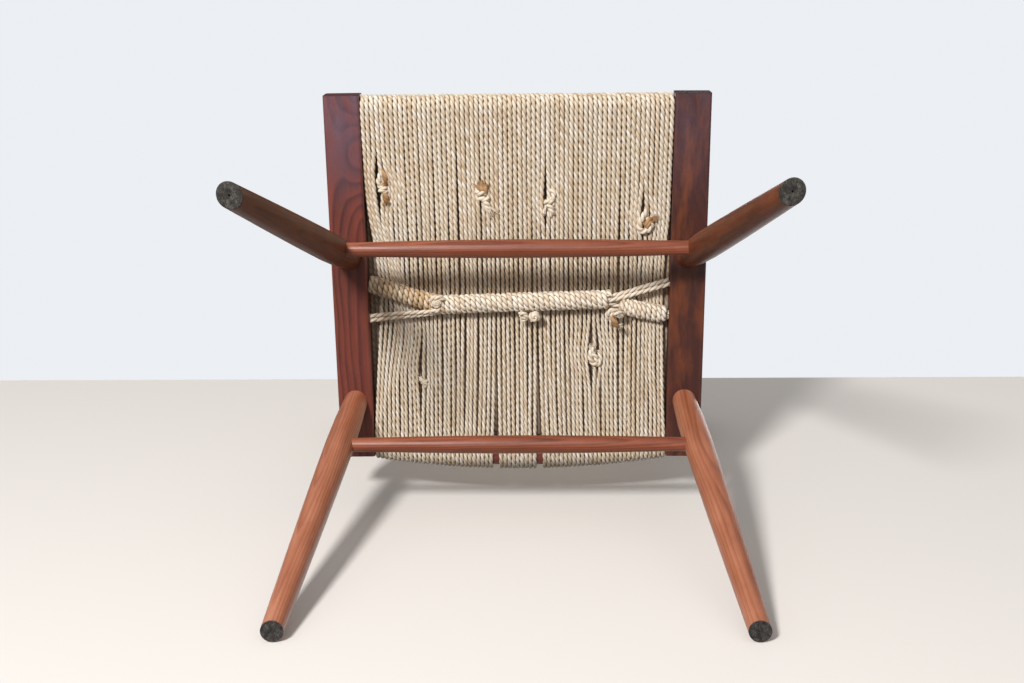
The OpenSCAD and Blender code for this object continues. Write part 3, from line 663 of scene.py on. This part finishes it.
def wound_round(centre, start, end, turns, reach_y, reach_z, per_turn=16, phase=0.0, thickness=1.0, uneven=0.0,
                closing=0.0):
    """A helix round a centre line given as a function of 0 to 1. Negative turns wind the other way.

    uneven lets the twist and thickness change from turn to turn, and closing draws the last half turn in.
    """
    path = []
    count = int(abs(turns) * per_turn)
    for j in range(count + 1):
        turned = turns * j / count
        s = start + (end - start) * j / count
        here = Vector(centre(s))
        ahead = Vector(centre(min(1.0, s + 0.01))) - Vector(centre(max(0.0, s - 0.01)))
        across = Vector((-ahead.y, ahead.x, 0)).normalized()
        a = phase + 2 * math.pi * turned
        drawn = 1 - closing * max(0.0, 1 - (count - j) / per_turn * 2)
        p = here + across * (reach_y * drawn * math.cos(a)) + Vector((0, 0, reach_z * drawn * math.sin(a)))
        own = noise.noise(Vector((turned * 0.83, phase, 4.0)))
        path.append((*p, thickness * (1 + uneven * 0.25 * own), uneven * 1.5 * own))
    return path


def line_through(points):
    """A smooth line through points, as a function of 0 to 1."""
    points = [Vector(p) for p in points]

    def at(s):
        s = min(max(s, 0.0), 1.0) * (len(points) - 1)
        k = min(int(s), len(points) - 2)
        f = s - k
        p0, p1, p2, p3 = points[max(k - 1, 0)], points[k], points[k + 1], points[min(k + 2, len(points) - 1)]
        return 0.5 * ((2 * p1) + (p2 - p0) * f + (2 * p0 - 5 * p1 + 4 * p2 - p3) * f * f
                      + (3 * p1 - 3 * p2 + p3 - p0) * f ** 3)
    return at


WOUND = (
    (-185.2, 231.0, 12.6), (-160.0, 238.5, 12.2), (-132.0, 247.5, 11.4), (-104.0, 255.5, 10.6), (-80.0, 257.0, 10.2),
    (0.0, 254.5, 9.6), (90.0, 252.3, 10.2), (118.0, 256.5, 10.8), (150.0, 266.0, 11.4), (185.2, 272.6, 12.0),
)
PLAIN = (
    (-185.2, 274.0, 8.2), (-150.0, 270.5, 7.8), (-115.0, 267.5, 7.0), (-88.0, 264.0, 6.6), (0.0, 254.5, 6.6),
    (90.0, 252.0, 6.6), (118.0, 248.6, 7.0), (150.0, 239.5, 7.8), (185.2, 229.4, 8.2),
)
STRAND_POINTS = 180  # per turn, as the two cords of a strand make only half a turn

# The windings, as (start, end, turns, half width, half height), with start and end from 0 to 1 along their line
BAND = 0, 1, 32.5, 9.0, 8.6
LEFT_ARM, RIGHT_ARM = (0.012, 0.345, 13.5, 8.3, 6.9), (0.80, 0.978, 10.0, 8.0, 6.7)
BAND_R, BAND_PLIES = 8.8, 7.5  # half a ply more than seven in each turn of the band, so that its turns interlock
WOUND_GROOVE, WOUND_SPACING = 0.44, 1.6


# Knots and frayed ends

# Knots on the lashing: curls as (x, y, z, outer radius, inner radius, turns, start in degrees, thickness), and
# strands and stubs as in KNOTS
CURLS = (
    (-100.5, 253.0, -3.6, 5.0, 1.4, 1.7, 150, .92), (5.6, 274.0, 4.2, 3.9, 1.2, 1.5, 200, .84),
    (20.0, 271.5, 0.6, 5.6, 1.8, 1.8, 120, 1.0),
)
BAND_STRANDS = (
    ((-108, 250, -1, .8), (-105, 246, -3.6, .9), (-98, 244.6, -4.2, .95), (-92, 248, -2.4, .85)),
    ((-96, 259, -1.4, .9), (-101, 262.5, -1.0, .95), (-108, 262, 1.0, .9)),
    ((1, 268, 2.5, .8), (5, 266.5, .6, .85), (9.5, 269.5, 1.2, .8), (10, 275, 4.0, .75)),
    ((109, 275, 1.0, .85), (109, 267.5, -2.4, .95), (114, 262, -4.2, .95), (121, 262.8, -4.4, .9),
     (126.5, 267, -2.4, .85), (127, 272, 1, .75)),
    ((114, 273, -1.5, .8), (114.4, 268, -3.8, .85), (118.5, 265.5, -5, .9), (123, 267.5, -4, .8)),
)
BAND_STUBS = (
    ((115, 270, -3.4, 1.0), (116.5, 275, -4.4, 1.2), (119.5, 279.5, -4, 1.15), (121.5, 282.5, -3, 1)),
)
BAND_BLADES = ((122, 281.5, -3, 15, 7, 9, 45, 1.0), (120, 270, -3.4, 12, 8, 4, 16, .9))


def curl(x, y, z, outer, inner, turns, start, thickness):
    """A flat spiral, as a cord's end makes when its knot is pulled tight."""
    path = []
    count = int(20 * turns)
    for j in range(count + 1):
        s = j / count
        a = math.radians(start) + 2 * math.pi * turns * s
        r = outer + (inner - outer) * s
        path.append((x + r * math.cos(a), y + r * math.sin(a), z + 2.2 - 4.2 * s, thickness * (0.9 + 0.1 * s)))
    return path


def stroke(points):
    """A smooth strand through (x, y, z, thickness) points."""
    line = line_through([p[:3] for p in points])
    width = line_through([(p[3], 0, 0) for p in points])
    count = 5 * (len(points) - 1)
    return [(*line(j / count), width(j / count)[0]) for j in range(count + 1)]


def frayed(x, y, z, heading, length, count, spread, thickness, rng):
    """Loose grass blades that fan out from the end of a cord."""
    paths = []
    for _ in range(count):
        aim = rng.uniform(-1, 1)
        a = math.radians(heading + spread * aim)
        reach = length * rng.uniform(0.65, 1.05)
        bend, lift = math.radians(rng.uniform(-20, 20)), rng.uniform(-1.2, 0.6)
        ox, oy = -math.sin(a) * aim * 1.4, math.cos(a) * aim * 1.4
        path = []
        for k in range(7):
            f = k / 6
            b = a + bend * f
            path.append((x + ox + math.cos(b) * reach * f, y + oy + math.sin(b) * reach * f, z + lift * f * f,
                         thickness * (1.0 - 0.65 * f * f)))
        paths.append(path)
    return paths


# Settings

def tint(name, description, hex_colour):
    return bpy.props.FloatVectorProperty(name=name, description=description, default=linear(hex_colour), size=4,
                                         min=0, max=1, subtype="COLOR")


def amount(name, description, default, **settings):
    return bpy.props.FloatProperty(name=name, description=description, default=default, **settings)


TONES = (("light", "Palest wood"), ("middle", "Usual colour"), ("dark", "Darkest streaks"))
WOODS = (
    ("plank", "Plank", "the planks", ("#8a4435", "#6c3227", "#33161a")),
    ("heart", "Heartwood", "the right side rail", ("#683224", "#46211a", "#22110f")),
    # The front and rear legs are one walnut: the front legs' tones are darker with painted shade and the rear legs'
    # lighter with painted light
    ("shaded", "Front leg", "the front legs", ("#84441f", "#672e12", "#37150a")),
    ("pale", "Rear leg", "the rear legs", ("#c8937a", "#ad6c4f", "#763e29")),
    ("turned", "Turned", "the turned pieces", ("#b4704f", "#8e4a30", "#572819")),
)


class ChairWood(bpy.types.PropertyGroup):
    __annotations__ = {
        "%s_%s" % (wood, tone): tint("%s %s" % (label, tone), "%s of %s" % (what, where), colour)
        for wood, label, where, colours in WOODS for (tone, what), colour in zip(TONES, colours)
    }
    ring_spacing: amount("Ring spacing", "Width of a year ring", 6.5 * MM, unit="LENGTH")


class ChairCord(bpy.types.PropertyGroup):
    diameter: amount("Seat cord", "Diameter of the seat cord", 5.8 * MM, unit="LENGTH")
    lay: amount("Lay", "Length of one full twist", 17 * MM, unit="LENGTH")
    lashing_diameter: amount("Lashing cord", "Diameter of the lashing", 7.1 * MM, unit="LENGTH")
    wander: amount("Wander", "How far a cord strays sideways", 0.75 * MM, unit="LENGTH")
    light: tint("Light", "Palest grass", "#f3eadf")
    middle: tint("Middle", "Usual grass", "#dac6aa")
    dark: tint("Dark", "Brownest grass", "#a9855a")


class ChairStudio(bpy.types.PropertyGroup):
    floor: tint("Floor", "Colour of the floor", "#d9d3cd")
    wall: tint("Wall", "Colour of the background", "#eceff3")
    key: amount("Key light", "Power of the main lamp", 101.0, subtype="POWER")
    top: amount("Top light", "Power of the lamp over the seat", 42.0, subtype="POWER")
    surround: amount("Surround", "Strength of the even light from all round", 0.13)
    window: amount("Window", "Strength of the broad light from the front", 0.6)
    focal: amount("Focal length", "Lens of the camera", 1400 / 1024 * 36, subtype="DISTANCE_CAMERA")


def chosen(group, kind=""):
    """The light, middle and dark tone that a group of settings holds, for one kind of wood or for the cord."""
    return [tuple(getattr(group, kind + tone)) for tone, _ in TONES]


# Operators

# The camera as fitted to the photograph: its pitch, yaw and roll, and how far a point of the seat lies from it to
# the right, up and ahead, in mm
CAMERA_TURNS = [math.radians(angle) for angle in (16, 1.24, 0.24)]
SEEN_POINT, SEEN_AT = Vector((0, 210.8, 0)), Vector((7.66, 88.2, 1707.1))
LYING_Y = 516  # the floor on which the chair lies in the photograph
LAMPS_AIM = Vector((0, 230, 0))


class CHAIR_OT_studio(bpy.types.Operator):
    """Sets the camera, the lamps and the pale floors, which show only from their upper side"""
    bl_idname = "chair.studio"
    bl_label = "Studio"

    def execute(self, context):
        values = context.scene.chair_studio
        # The photograph was taken from under the seat of the chair, which lay on its back
        pitch, yaw, roll = CAMERA_TURNS
        turn = (Matrix.Rotation(roll, 3, "Z") @ Matrix.Rotation(yaw, 3, "Y") @ Matrix.Rotation(-pitch, 3, "X")
                @ Matrix.Diagonal((1, -1, 1)))
        right, up, ahead = turn
        spot = SEEN_POINT - turn.transposed() @ SEEN_AT
        camera = new_object("Camera", bpy.data.cameras.new("Camera"))
        axes = Matrix((right, up, -ahead)).transposed().to_4x4()
        camera.matrix_world = SEAT @ Matrix.Translation(spot * MM) @ axes
        camera.data.lens = values.focal
        camera.data.sensor_width = 36
        camera.data.clip_end = 50
        context.scene.camera = camera

        # Plain floors: one under the chair as it lies in the photograph, one under its feet
        for name, corners in (
            ("floor_lying", [seat(x, LYING_Y, z)
                             for x, z in ((-2600, -3000), (2600, -3000), (2600, 524), (-2600, 524))]),
            ("floor_standing", [Vector((x, y, -0.0006)) for x, y in ((-3, -3), (3, -3), (3, 3), (-3, 3))]),
        ):
            mesh = bpy.data.meshes.new(name)
            mesh.from_pydata(corners, [], [(0, 1, 2, 3)])
            floor = new_object(name, mesh)
            mesh.materials.append(self.floor_material(name, tuple(values.floor)))

        world = bpy.data.worlds.new("Studio")
        world.use_nodes = True
        tree = world.node_tree
        tree.nodes.clear()
        # The broad window light comes from over the front edge of the seat
        aim = SEAT_TURN @ Vector((-0.15, -0.9, -0.4)).normalized()
        facing = vectors(tree, "DOT_PRODUCT", add(tree, "ShaderNodeTexCoord").outputs["Generated"], tuple(aim))
        strength = sums(tree, "MULTIPLY_ADD", sums(tree, "MAXIMUM", facing, 0.0), values.window, values.surround)
        seen = add(tree, "ShaderNodeBackground", {0: tuple(values.wall), 1: 1.0})
        light = add(tree, "ShaderNodeBackground", {0: (0.97, 0.985, 1.0, 1), 1: strength})
        camera_ray = add(tree, "ShaderNodeLightPath").outputs["Is Camera Ray"]
        add(tree, "ShaderNodeOutputWorld", {0: add(tree, "ShaderNodeMixShader", {
            0: camera_ray, 1: light.outputs[0], 2: seen.outputs[0]}).outputs[0]})
        context.scene.world = world

        # Lamps as name, way from the seat, distance in mm, size in metres and power
        for name, way, distance, size, power in (
            ("Key", (-0.42, -0.71, -1.0), 3200, 0.5, values.key),
            ("Top", (0.55, 0.4, 1.5), 2300, 2.4, values.top),
        ):
            lamp = new_object(name, bpy.data.lights.new(name, "AREA"))
            lamp.data.shape = "DISK"
            lamp.data.size = size
            lamp.data.energy = power
            way = Vector(way).normalized()
            lamp.matrix_world = SEAT @ Matrix.Translation((LAMPS_AIM + way * distance) * MM) @ \
                way.to_track_quat("Z", "Y").to_matrix().to_4x4()
        context.scene.view_settings.view_transform = "Standard"
        return {"FINISHED"}

    @staticmethod
    def floor_material(name, colour):
        """Matt paint that only the camera sees, and only from the side the chair is on."""
        material, tree = new_material("Matt paint " + name)
        paint = add(tree, "ShaderNodeBsdfDiffuse", {0: colour, 1: 0.4})
        clear = add(tree, "ShaderNodeBsdfTransparent")
        way = add(tree, "ShaderNodeLightPath").outputs
        rays = sums(tree, "MAXIMUM", way["Is Camera Ray"], sums(tree, "MAXIMUM", way["Is Glossy Ray"],
                                                                way["Is Transmission Ray"]))
        front = sums(tree, "SUBTRACT", 1.0, add(tree, "ShaderNodeNewGeometry").outputs["Backfacing"])
        add(tree, "ShaderNodeOutputMaterial", {0: add(tree, "ShaderNodeMixShader", {
            0: sums(tree, "MULTIPLY", rays, front), 1: clear.outputs[0], 2: paint.outputs[0]}).outputs[0]})
        return material


SIDES = ("left", -1), ("right", 1)
RAIL_ENDS = -0.1197, 0.3337  # just inside the side rails' sawn ends
LEG_ENDS = -9.0, 0.014  # the leg's upper end only, as its foot has dirt of its own
# Half the seat's width at the front, how much narrower it gets per mm, and how far in the legs stand
SEAT_HALF, SEAT_TAPER, LEG_INSET = 230, 3 / 454, 21.5
LEG_ANGLES = 6.6, 20, 18  # how far the legs lean sideways, and the front and the rear ones lengthways
POST_LEAN = math.radians(13.5)


class CHAIR_OT_planks(bpy.types.Operator):
    """Finishes the sawn and planed walnut: side rails, cross rails and back rest"""
    bl_idname = "chair.planks"
    bl_label = "Planks"

    def execute(self, context):
        w = context.scene.chair_wood
        plank, heart, spacing = chosen(w, "plank_"), chosen(w, "heart_"), w.ring_spacing / MM
        # The left rail is cut beside a knot, and the right one is darker, with orange streaks
        dress("side_rail_left", walnut(
            "Planed walnut side_rail_left", seat(-206, 120, 16), BACK, plank, 0.42, figure=15, ring=spacing,
            pith=(0.0, 0.030, 0.046), contrast=0.36, swirl=((-0.052, -0.024, -0.016), 0.060, 0.030, 5.5),
            ember=0.10, front_sheen=1.0, ends=RAIL_ENDS))
        dress("side_rail_right", walnut(
            "Planed walnut side_rail_right", seat(206, 120, 16), BACK, heart, 0.42, figure=18, ring=spacing * 1.5,
            pith=(0.3, -0.036, 0.060), swirl=((-0.045, -0.030, -0.016), 0.060, 0.034, 3.5), ember=0.50, front_sheen=0.5,
            ends=RAIL_ENDS))
        for node, place, pith in (
            ("front_rail", seat(0, 20, 16), (0, 0.05, 0.04)),
            ("rear_rail", seat(0, 440, 16), (0, 0.06, 0.03)),
            ("crest_rail", (0, 0.215, 0.62), (0, 0.02, 0.09)),
        ):
            dress(node, walnut("Planed walnut " + node, place, (1, 0, 0), plank, 0.38, figure=11, ring=spacing,
                               pith=pith, ember=0.2))
        return {"FINISHED"}


class CHAIR_OT_turnings(bpy.types.Operator):
    """Finishes the turned walnut: legs, stretchers and back posts"""
    bl_idname = "chair.turnings"
    bl_label = "Turned pieces"

    def execute(self, context):
        w = context.scene.chair_wood
        tan = [math.tan(math.radians(angle)) for angle in LEG_ANGLES]
        # Painted shade on the front legs and painted light on the rear legs, through their darker and lighter tones
        for end, y, slope, wood, roughness, shine in (
            ("front", 195, -tan[1], "shaded_", 0.5, 0.28), ("rear", 381, tan[2], "pale_", 0.38, 0.5),
        ):
            for hand, side in SIDES:
                node = "leg_%s_%s" % (end, hand)
                top = seat(side * (SEAT_HALF - SEAT_TAPER * y - LEG_INSET), y, 0)
                up = SEAT_TURN @ Vector((-side * tan[0], -slope, 1))
                dress(node, walnut("Turned walnut " + node, top, up, chosen(w, wood), roughness, figure=6, ring=3.0,
                                   pith=(0.1 * side, 0.021, -0.017 * side), contrast=0.24, ember=0.3, shine=shine,
                                   ends=LEG_ENDS, foot=True))
        turned = chosen(w, "turned_")
        for node, y, z in (("stretcher_front", 171, -66), ("stretcher_rear", 408, -82)):
            dress(node, walnut("Turned walnut " + node, seat(40, y, z), (1, 0, 0), turned, 0.42, figure=6, ring=2.6,
                               pith=(y * MM, 0.016, 0.012), contrast=0.34, ember=0.3))
        up = SEAT_TURN @ Vector((0, math.sin(POST_LEAN), math.cos(POST_LEAN)))
        for hand, side in SIDES:
            node = "back_post_" + hand
            dress(node, walnut("Turned walnut " + node, seat(side * 205.8, 402, 32), up, turned, 0.34, figure=4,
                               ring=3.4, pith=(0.3, 0.018, 0.015 * side)))
        oak = tones("#d9b88a", "#c39b6a", "#94703f")
        dress("leg_wedges", walnut("Split oak wedge", seat(0, 300, 32), (0, 0, 1), oak, 0.5, figure=2, ring=1.6))
        return {"FINISHED"}


class CHAIR_OT_seat_cord(bpy.types.Operator):
    """Winds the seat's five lengths of twisted cord round the front and rear rail"""
    bl_idname = "chair.seat_cord"
    bl_label = "Seat cord"

    def execute(self, context):
        c = context.scene.chair_cord
        lower = layer_places(0, c.wander / MM)
        upper = layer_places(1, c.wander / MM * 0.3)
        first = 0
        for k, (node, count) in enumerate(LENGTHS):
            material = cord_material("Twisted sea grass %d" % k, chosen(c), k * 17.3, soil_and_shade=0.2)
            attach(sweep(node.replace("seat_cord", "wound_cord"), [wound_path(first, count, lower, upper)],
                         material, c.diameter / MM, c.lay / MM), node)
            first += count
        return {"FINISHED"}


class CHAIR_OT_lashing(bpy.types.Operator):
    """Lays the two doubled strands under the seat and winds the lashing round them"""
    bl_idname = "chair.lashing"
    bl_label = "Lashing"

    def execute(self, context):
        c = context.scene.chair_cord
        # The lashing is the palest of the cord, but for its left arm, which is browner with handling and darker with
        # painted shade of the front stretcher
        material = cord_material("Twisted sea grass lashing", tones("#fff6ea", "#ecdac2", "#a47c4e"), 101.7,
                                 deep=0.75)
        handled_and_shaded = cord_material("Handled and shaded sea grass lashing", tones("#eedcc0", "#c09c70", "#7d5734"), 141.2,
                                deep=0.8)
        d, thick = c.diameter / MM, c.lashing_diameter / MM
        for name, route, node in (("wound_strand", WOUND, "cross_strand_wound"),
                                  ("plain_strand", PLAIN, "cross_strand_plain")):
            line = line_through(route)
            # The two cords of a strand lie side by side and cross once, under the lashing
            paths = [wound_round(line, 0, 1, 0.5, d * 0.48, d * 0.42, per_turn=STRAND_POINTS, phase=phase)
                     for phase in (0.0, math.pi)]
            attach(sweep(name, paths, material, d * 1.02, c.lay / MM), node)
        line = line_through(WOUND)

        def band(s):
            x = LASH_LEFT + 2 + (LASH_RIGHT - LASH_LEFT - 2) * s
            return x, lashing_line(x), LASH_Z - 0.6

        paths = [
            wound_round(band, *BAND, phase=1.0, uneven=0.22),
            wound_round(line, *RIGHT_ARM, phase=0.5, uneven=0.3, closing=0.35),
        ]
        lay = 2 * 2 * math.pi * BAND_R / BAND_PLIES
        attach(sweep("wound_lashing", paths, material, thick, lay, WOUND_GROOVE, WOUND_SPACING), "lashing")
        left = wound_round(line, *LEFT_ARM, phase=2.0, uneven=0.3)
        attach(sweep("wound_lashing_left", [left], handled_and_shaded, thick, lay, WOUND_GROOVE, WOUND_SPACING))
        return {"FINISHED"}


class CHAIR_OT_knots(bpy.types.Operator):
    """Ties the knots that join the lengths of cord, with their cut and frayed ends"""
    bl_idname = "chair.knots"
    bl_label = "Knots"

    def execute(self, context):
        c = context.scene.chair_cord
        pale = cord_material("Twisted sea grass knots", tones("#fbf2e5", "#decbb0", "#926b44"), 55.1)
        brown = cord_material("Cut sea grass", tones("#bf9a70", "#94683f", "#5f3f26"), 78.4)
        rng = random.Random(11)
        lower = layer_places(0, c.wander / MM)
        ties, stubs, blades, fringe = [], [], [], []
        for knot in KNOTS:
            x, z = cord_at(lower, knot["cord"], knot["y"])
            y = knot["y"]
            for made, strands in ((ties, knot["strands"]), (stubs, knot.get("stubs", ()))):
                for strand in strands:
                    made.append(stroke([(x + p[0], y + p[1], z + p[2] - 0.6, p[3]) for p in strand]))
            for px, py, across, along, turns, radius, thickness in knot.get("loops", ()):
                line = line_through([(x + px + across * s, y + py + along * s, z - 1.4) for s in (-0.5, 0.0, 0.5)])
                ties.append(wound_round(line, 0, 1, turns, radius, radius * 0.9, phase=math.pi / 2,
                                        thickness=thickness))
            for made, fans in ((blades, knot.get("blades", ())), (fringe, knot.get("fringe", ()))):
                for px, py, pz, *fan in fans:
                    made += frayed(x + px, y + py, z + pz - 0.6, *fan, rng)
        ties += [curl(*values) for values in CURLS] + [stroke(points) for points in BAND_STRANDS]
        stubs += [stroke(points) for points in BAND_STUBS]
        for fan in BAND_BLADES:
            blades += frayed(*fan, rng)
        d, lay = c.diameter / MM * 1.16, c.lay / MM * 0.85
        attach(sweep("knots", ties, pale, d, lay, WOUND_GROOVE, WOUND_SPACING))
        attach(sweep("cut_ends", stubs, brown, d, lay * 1.3, spacing=WOUND_SPACING))
        for name, fans, material in (("frayed_ends", blades, pale), ("frayed_fringes", fringe, brown)):
            attach(sweep(name, fans, material, 1.0, 60, groove=0.2, sides=6))
        return {"FINISHED"}


class CHAIR_PT_panel(bpy.types.Panel):
    """Lists the steps and their settings"""
    bl_idname = "CHAIR_PT_panel"
    bl_label = "Rush seat chair"
    bl_space_type = "VIEW_3D"
    bl_region_type = "UI"
    bl_category = "Chair"

    def draw(self, context):
        for name, group in SETTINGS:
            box = self.layout.box()
            for setting in group.__annotations__:
                box.prop(getattr(context.scene, name), setting)
        for step in STEPS:
            self.layout.operator(step.bl_idname)


SETTINGS = (("chair_wood", ChairWood), ("chair_cord", ChairCord), ("chair_studio", ChairStudio))
STEPS = (CHAIR_OT_studio, CHAIR_OT_planks, CHAIR_OT_turnings, CHAIR_OT_seat_cord, CHAIR_OT_lashing, CHAIR_OT_knots)


def register():
    for _, group in SETTINGS:
        bpy.utils.register_class(group)
    for step in STEPS + (CHAIR_PT_panel,):
        bpy.utils.register_class(step)
    for name, group in SETTINGS:
        setattr(bpy.types.Scene, name, bpy.props.PointerProperty(type=group))


def unregister():
    for name, _ in SETTINGS:
        delattr(bpy.types.Scene, name)
    for step in (CHAIR_PT_panel,) + STEPS:
        bpy.utils.unregister_class(step)
    for _, group in SETTINGS:
        bpy.utils.unregister_class(group)


def main():
    register()
    bpy.ops.chair.studio()
    bpy.ops.chair.planks()
    bpy.ops.chair.turnings()
    bpy.ops.chair.seat_cord()
    bpy.ops.chair.lashing()
    bpy.ops.chair.knots()


if __name__ == "__main__":
    main()
